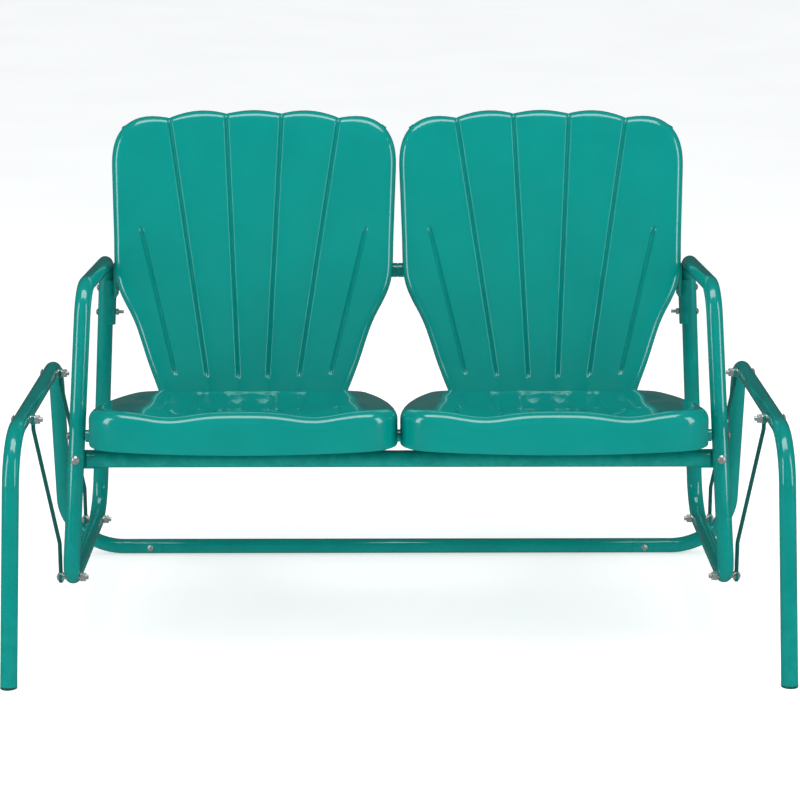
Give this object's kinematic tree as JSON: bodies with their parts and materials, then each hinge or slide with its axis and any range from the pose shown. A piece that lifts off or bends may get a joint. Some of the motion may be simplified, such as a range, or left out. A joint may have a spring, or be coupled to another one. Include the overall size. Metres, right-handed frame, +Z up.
{
  "type": "glider swing",
  "caption": "Retro patio glider: pressed-steel seats and fluted shell backs on a tube arm frame that hangs from a floor base by swing rods.",
  "frame": {"origin": "on the floor, midway between the sides and midway between the front feet and the rear bar", "axes": "+X to the right as seen from the front, +Y to the back, +Z up"},
  "size_m": [1.311, 0.766, 0.8714],
  "materials": {
    "frame_paint": "glossy teal-green powder coat on steel tube",
    "shell_paint": "glossy teal-green powder coat on pressed sheet steel",
    "zinc": "bright zinc plate",
    "bare_steel": "bare mill steel",
    "nylon": "natural nylon",
    "plug_plastic": "moulded plastic end plug"
  },
  "bodies": {
    "base": {"base_rear_bar": "frame_paint", "base_side_left": "frame_paint", "base_side_right": "frame_paint", "front_foot_plugs": "plug_plastic", "rear_bar_bolts": "zinc", "rear_bar_nuts": "zinc", "upper_pivot_bolts": "zinc", "upper_pivot_nuts": "zinc", "upper_pivot_washers": "zinc"},
    "swing_rod_front_left": {"swing_rod_front_left": "frame_paint", "rod_bushes_front_left": "nylon"},
    "swing_rod_front_right": {"swing_rod_front_right": "frame_paint", "rod_bushes_front_right": "nylon"},
    "swing_rod_rear_left": {"swing_rod_rear_left": "frame_paint", "rod_bushes_rear_left": "nylon"},
    "swing_rod_rear_right": {"swing_rod_rear_right": "frame_paint", "rod_bushes_rear_right": "nylon"},
    "seat_frame": {"arm_frame_left": "frame_paint", "arm_frame_right": "frame_paint", "arm_sleeve_left": "bare_steel", "arm_sleeve_right": "bare_steel", "back_brackets_left": "frame_paint", "back_brackets_right": "frame_paint", "back_rail_left": "frame_paint", "back_rail_right": "frame_paint", "back_rail_sleeve": "bare_steel", "back_saddle_left": "frame_paint", "back_saddle_right": "frame_paint", "back_shell_left": "shell_paint", "back_shell_right": "shell_paint", "bracket_bolts_left": "zinc", "bracket_bolts_right": "zinc", "bracket_nuts_left": "zinc", "bracket_nuts_right": "zinc", "foot_brackets_left": "frame_paint", "foot_brackets_right": "frame_paint", "front_lower_rail": "frame_paint", "front_upper_rail": "frame_paint", "lower_pivot_bolts": "zinc", "lower_pivot_nuts": "zinc", "lower_pivot_washers": "zinc", "lower_rail_bolts": "zinc", "lower_rail_nuts": "zinc", "saddle_bolts": "zinc", "saddle_nuts": "zinc", "seat_brackets_left": "frame_paint", "seat_brackets_right": "frame_paint", "seat_pan_left": "shell_paint", "seat_pan_right": "shell_paint", "upper_rail_bolts": "zinc", "upper_rail_inserts": "bare_steel"}
  },
  "joints": [
    {"name": "swing_rear_left", "type": "hinge", "parent": "base", "child": "swing_rod_rear_left", "pos_m": [-0.634, 0.172, 0.404], "axis": [1, 0, 0], "range_deg": [-15, 15]},
    {"name": "seat_hang", "type": "hinge", "parent": "swing_rod_rear_left", "child": "seat_frame", "pos_m": [-0.559, 0.172, 0.126], "axis": [1, 0, 0], "range_deg": [-16, 16]},
    {"name": "swing_rear_right", "type": "hinge", "parent": "base", "child": "swing_rod_rear_right", "pos_m": [0.634, 0.172, 0.404], "axis": [1, 0, 0], "range_deg": [-16, 16]},
    {"name": "swing_front_left", "type": "hinge", "parent": "base", "child": "swing_rod_front_left", "pos_m": [-0.634, -0.17, 0.404], "axis": [1, 0, 0], "range_deg": [-16, 16]},
    {"name": "swing_front_right", "type": "hinge", "parent": "base", "child": "swing_rod_front_right", "pos_m": [0.634, -0.17, 0.404], "axis": [1, 0, 0], "range_deg": [-16, 16]}
  ],
  "couplings": [
    {"joint": "seat_hang", "follows": "swing_rear_left", "ratio": -1},
    {"joint": "swing_rear_right", "follows": "swing_rear_left", "ratio": 1},
    {"joint": "swing_front_left", "follows": "swing_rear_left", "ratio": 1},
    {"joint": "swing_front_right", "follows": "swing_rear_left", "ratio": 1}
  ]
}
